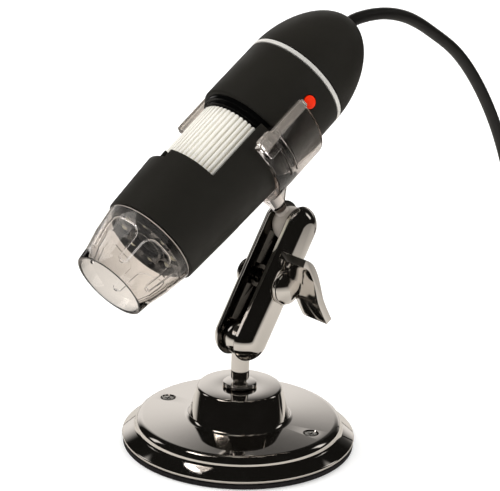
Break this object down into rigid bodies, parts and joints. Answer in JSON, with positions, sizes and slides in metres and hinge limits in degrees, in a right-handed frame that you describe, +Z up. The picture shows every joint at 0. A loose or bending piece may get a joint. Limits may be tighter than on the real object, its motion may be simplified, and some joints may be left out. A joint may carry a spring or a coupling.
{
  "type": "usb digital microscope",
  "caption": "Handheld digital microscope with a USB cord, in a clear clip-shaped holder on a chrome stand with a ball-jointed arm, wing lever and round base.",
  "frame": {"origin": "middle of the stand's pad, on the surface it stands on", "axes": "+Z up, the microscope's nose points down toward -Y, the wing lever is on the +X side"},
  "size_m": [0.0975, 0.2706, 0.1274],
  "materials": {
    "chrome": "polished chrome plate",
    "steel": "plain zinc-plated steel",
    "base_pad": "matt black foam rubber",
    "cord": "satin black jacket",
    "soft_black": "soft-touch black",
    "inner_black": "plain black moulding",
    "gloss_black": "glossy black",
    "ivory": "warm white moulding",
    "silver": "bright silver",
    "red": "red button plastic",
    "clear": "clear moulded plastic",
    "lamp": "water-clear lamp lens",
    "board": "green circuit board",
    "sensor": "dark sensor window",
    "lens": "coated glass"
  },
  "bodies": {
    "stand": {"base_shell": "chrome", "base_pad": "base_pad", "ballast_plate": "steel", "base_screw_1": "steel", "base_screw_2": "steel", "cord_coil": "cord", "cord_tail": "cord", "usb_plug_grip": "cord", "usb_plug_shell": "silver"},
    "stud": {"ball_stud": "chrome", "stud_nut": "steel"},
    "arm": {"arm_plate_left": "chrome", "arm_plate_right": "chrome", "clamp_bolt": "chrome", "clamp_washer": "chrome"},
    "lever": {"wing_lever": "chrome"},
    "holder": {"holder": "clear"},
    "scope": {"front_barrel": "soft_black", "rear_body": "soft_black", "silver_ring": "silver", "tail_dome": "soft_black", "cord_gland": "cord", "lamp_face": "gloss_black", "led_board": "board", "led_1": "lamp", "led_2": "lamp", "led_3": "lamp", "led_4": "lamp", "led_5": "lamp", "led_6": "lamp", "led_7": "lamp", "led_8": "lamp", "guide_tube": "inner_black", "sensor_board": "board", "image_sensor": "sensor", "button_board": "board", "tact_switch": "gloss_black", "cord_run": "cord"},
    "focus_ring": {"focus_ring": "ivory"},
    "lens_carriage": {"lens_barrel": "inner_black", "lens": "lens"},
    "button": {"snap_button": "red"},
    "cap": {"nose_cap": "clear"}
  },
  "joints": [
    {"name": "stand_swivel", "type": "hinge", "parent": "stand", "child": "stud", "pos_m": [0, 0, 0.034], "axis": [0, 0, 1], "range_deg": [-180, 180], "deforming": ["cord_run"]},
    {"name": "arm_tilt", "type": "hinge", "parent": "stud", "child": "arm", "pos_m": [0, 0, 0.034], "axis": [1, 0, 0], "range_deg": [-35, 15], "deforming": ["cord_run"]},
    {"name": "lever_turn", "type": "hinge", "parent": "arm", "child": "lever", "pos_m": [0, 0.00996, 0.05018], "axis": [1, 0, 0], "range_deg": [-100, 100]},
    {"name": "head_tilt", "type": "hinge", "parent": "arm", "child": "holder", "pos_m": [0, 0.01923, 0.06526], "axis": [1, 0, 0], "range_deg": [-40, 15], "deforming": ["cord_run"]},
    {"name": "scope_roll", "type": "hinge", "parent": "holder", "child": "scope", "pos_m": [-0.00497, -0.04879, 0.06105], "axis": [0, 0.8413, 0.5405], "range_deg": [-90, 90], "deforming": ["cord_run"]},
    {"name": "focus_turn", "type": "hinge", "parent": "scope", "child": "focus_ring", "pos_m": [-0.00497, -0.04879, 0.06105], "axis": [0, 0.8413, 0.5405], "range_deg": [-150, 150]},
    {"name": "lens_slide", "type": "slide", "parent": "scope", "child": "lens_carriage", "axis": [0, 0.8413, 0.5405], "range_m": [-0.004, 0.004]},
    {"name": "snap_press", "type": "slide", "parent": "scope", "child": "button", "axis": [-0.9542, 0.1616, -0.2516], "range_m": [0, 0.0006], "stiffness_N_per_m": 1500, "springref_m": -0.0002},
    {"name": "cap_pull", "type": "slide", "parent": "scope", "child": "cap", "axis": [0, -0.8413, -0.5405], "range_m": [0, 0.012]}
  ],
  "couplings": [
    {"joint": "lens_slide", "follows": "focus_turn", "m_per_rad": 0.0015}
  ]
}
